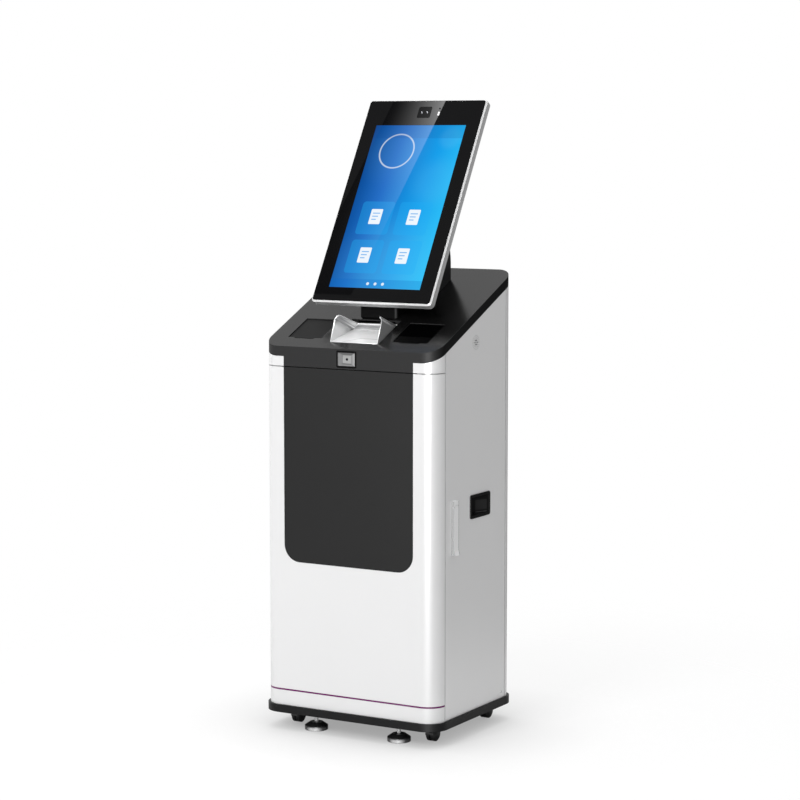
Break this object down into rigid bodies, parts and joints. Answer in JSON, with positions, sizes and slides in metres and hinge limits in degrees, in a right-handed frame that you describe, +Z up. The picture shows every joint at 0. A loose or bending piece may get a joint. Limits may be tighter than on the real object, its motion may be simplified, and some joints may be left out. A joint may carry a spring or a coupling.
{
  "type": "document printing kiosk",
  "caption": "Floor-standing document printing kiosk: tilted touch display, sloping desk with reader bays and a folded steel document chute, side service door, levelling feet and casters.",
  "frame": {"origin": "on the floor under the middle of the cabinet, where the feet stand", "axes": "+X to the right seen by the user, +Y to the rear, +Z up; the user stands on the -Y side"},
  "size_m": [0.5278, 0.4335, 1.616],
  "materials": {
    "white_paint": "satin powder coat",
    "plinth_black": "satin powder coat",
    "black_panel": "fine matt powder coat",
    "desk_black": "fine matt powder coat",
    "purple_trim": "satin",
    "neck_black": "satin powder coat",
    "frame_aluminium": "bright bevel, fine satin sides",
    "cover_black": "polished black border of the cover glass",
    "screen": "lit display",
    "camera_smoke": "smoked window",
    "lens_black": "polished",
    "lamp_white": "diffuser",
    "polished_steel": "polished stainless sheet",
    "brushed_funnel": "brushed",
    "pale_window": "frosted",
    "reader_plate": "fine matt",
    "dark_glass": "polished dark glass",
    "inner_black": "matt",
    "grip_black": "satin",
    "speaker_black": "matt",
    "handle_metal": "satin cast",
    "zinc_steel": "zinc plated",
    "platen_rubber": "smooth rubber",
    "paper": "uncoated paper",
    "computer_grey": "anodised, ribbed",
    "supply_metal": "plain sheet",
    "rocker_black": "gloss",
    "foot_metal": "polished rim, black cone, plated stud",
    "caster_black": "gloss",
    "caster_tread": "smooth tread"
  },
  "bodies": {
    "cabinet": {"base_plinth": "plinth_black", "foot_lock_nuts": "zinc_steel", "corner_posts": "zinc_steel", "kick_panel": "white_paint", "accent_strip": "purple_trim", "front_shell": "white_paint", "front_panel": "black_panel", "upper_trims": "white_paint", "rear_shell": "white_paint", "left_side_panel": "white_paint", "left_grip": "grip_black", "left_speaker": "speaker_black", "top_deck": "desk_black", "outlet_well": "inner_black", "document_chute": "polished_steel", "card_reader": "reader_plate", "scanner_body": "inner_black", "scanner_glass": "dark_glass", "code_reader_surround": "grip_black", "code_reader_bezel": "brushed_funnel", "code_reader_window": "pale_window", "code_reader_lens": "lens_black", "display_neck": "neck_black", "display_housing": "neck_black", "display_frame": "frame_aluminium", "cover_glass": "cover_black", "screen_panel": "screen", "camera_window": "camera_smoke", "camera_lenses": "lens_black", "fill_light": "lamp_white", "presence_sensor": "lens_black", "printer_shelf": "zinc_steel", "printer_body": "inner_black", "roll_holder": "zinc_steel", "computer": "computer_grey", "power_supply": "supply_metal", "power_inlet": "grip_black", "hinge_pivots": "zinc_steel"},
    "door": {"service_door": "white_paint", "right_grip": "grip_black", "right_speaker": "speaker_black", "handle_base": "handle_metal", "hinge_screw": "zinc_steel"},
    "lock_spindle": {"handle_spindle": "handle_metal"},
    "lock_lever": {"handle_lever": "handle_metal"},
    "platen": {"platen_roller": "platen_rubber"},
    "paper": {"paper_roll": "paper"},
    "rocker": {"power_rocker": "rocker_black"},
    "foot_front_left": {"foot_front_left": "foot_metal"},
    "fork_front_left": {"caster_fork_front_left": "caster_black"},
    "wheels_front_left": {"caster_wheels_front_left": "caster_tread"},
    "foot_front_right": {"foot_front_right": "foot_metal"},
    "fork_front_right": {"caster_fork_front_right": "caster_black"},
    "wheels_front_right": {"caster_wheels_front_right": "caster_tread"},
    "foot_rear_left": {"foot_rear_left": "foot_metal"},
    "fork_rear_left": {"caster_fork_rear_left": "caster_black"},
    "wheels_rear_left": {"caster_wheels_rear_left": "caster_tread"},
    "foot_rear_right": {"foot_rear_right": "foot_metal"},
    "fork_rear_right": {"caster_fork_rear_right": "caster_black"},
    "wheels_rear_right": {"caster_wheels_rear_right": "caster_tread"}
  },
  "joints": [
    {"name": "door_hinge", "type": "hinge", "parent": "cabinet", "child": "door", "pos_m": [0.247, 0.142, 0.5], "axis": [0, 0, 1], "range_deg": [0, 110]},
    {"name": "handle_turn", "type": "hinge", "parent": "door", "child": "lock_spindle", "pos_m": [0.255, -0.116, 0.613], "axis": [1, 0, 0], "range_deg": [0, 90]},
    {"name": "lever_lift", "type": "hinge", "parent": "lock_spindle", "child": "lock_lever", "pos_m": [0.2603, -0.116, 0.6046], "axis": [0, -1, 0], "range_deg": [0, 40]},
    {"name": "platen_spin", "type": "hinge", "parent": "cabinet", "child": "platen", "pos_m": [0, -0.03048, 1.037], "axis": [1, 0, 0], "continuous": true},
    {"name": "paper_spin", "type": "hinge", "parent": "cabinet", "child": "paper", "pos_m": [0, 0.07352, 0.926], "axis": [1, 0, 0], "continuous": true},
    {"name": "rocker_tip", "type": "hinge", "parent": "cabinet", "child": "rocker", "pos_m": [-0.15, 0.205, 0.15], "axis": [1, 0, 0], "range_deg": [0, 18]},
    {"name": "foot_screw_front_left", "type": "slide", "parent": "cabinet", "child": "foot_front_left", "axis": [0, 0, -1], "range_m": [0, 0.015]},
    {"name": "swivel_front_left", "type": "hinge", "parent": "cabinet", "child": "fork_front_left", "pos_m": [-0.201, -0.142, 0.055], "axis": [0, 0, 1], "continuous": true},
    {"name": "roll_front_left", "type": "hinge", "parent": "fork_front_left", "child": "wheels_front_left", "pos_m": [-0.201, -0.1245, 0.021], "axis": [1, 0, 0], "continuous": true},
    {"name": "foot_screw_front_right", "type": "slide", "parent": "cabinet", "child": "foot_front_right", "axis": [0, 0, -1], "range_m": [0, 0.015]},
    {"name": "swivel_front_right", "type": "hinge", "parent": "cabinet", "child": "fork_front_right", "pos_m": [0.201, -0.142, 0.055], "axis": [0, 0, 1], "continuous": true},
    {"name": "roll_front_right", "type": "hinge", "parent": "fork_front_right", "child": "wheels_front_right", "pos_m": [0.201, -0.1245, 0.021], "axis": [1, 0, 0], "continuous": true},
    {"name": "foot_screw_rear_left", "type": "slide", "parent": "cabinet", "child": "foot_rear_left", "axis": [0, 0, -1], "range_m": [0, 0.015]},
    {"name": "swivel_rear_left", "type": "hinge", "parent": "cabinet", "child": "fork_rear_left", "pos_m": [-0.201, 0.142, 0.055], "axis": [0, 0, 1], "continuous": true},
    {"name": "roll_rear_left", "type": "hinge", "parent": "fork_rear_left", "child": "wheels_rear_left", "pos_m": [-0.201, 0.1595, 0.021], "axis": [1, 0, 0], "continuous": true},
    {"name": "foot_screw_rear_right", "type": "slide", "parent": "cabinet", "child": "foot_rear_right", "axis": [0, 0, -1], "range_m": [0, 0.015]},
    {"name": "swivel_rear_right", "type": "hinge", "parent": "cabinet", "child": "fork_rear_right", "pos_m": [0.201, 0.142, 0.055], "axis": [0, 0, 1], "continuous": true},
    {"name": "roll_rear_right", "type": "hinge", "parent": "fork_rear_right", "child": "wheels_rear_right", "pos_m": [0.201, 0.1595, 0.021], "axis": [1, 0, 0], "continuous": true}
  ]
}
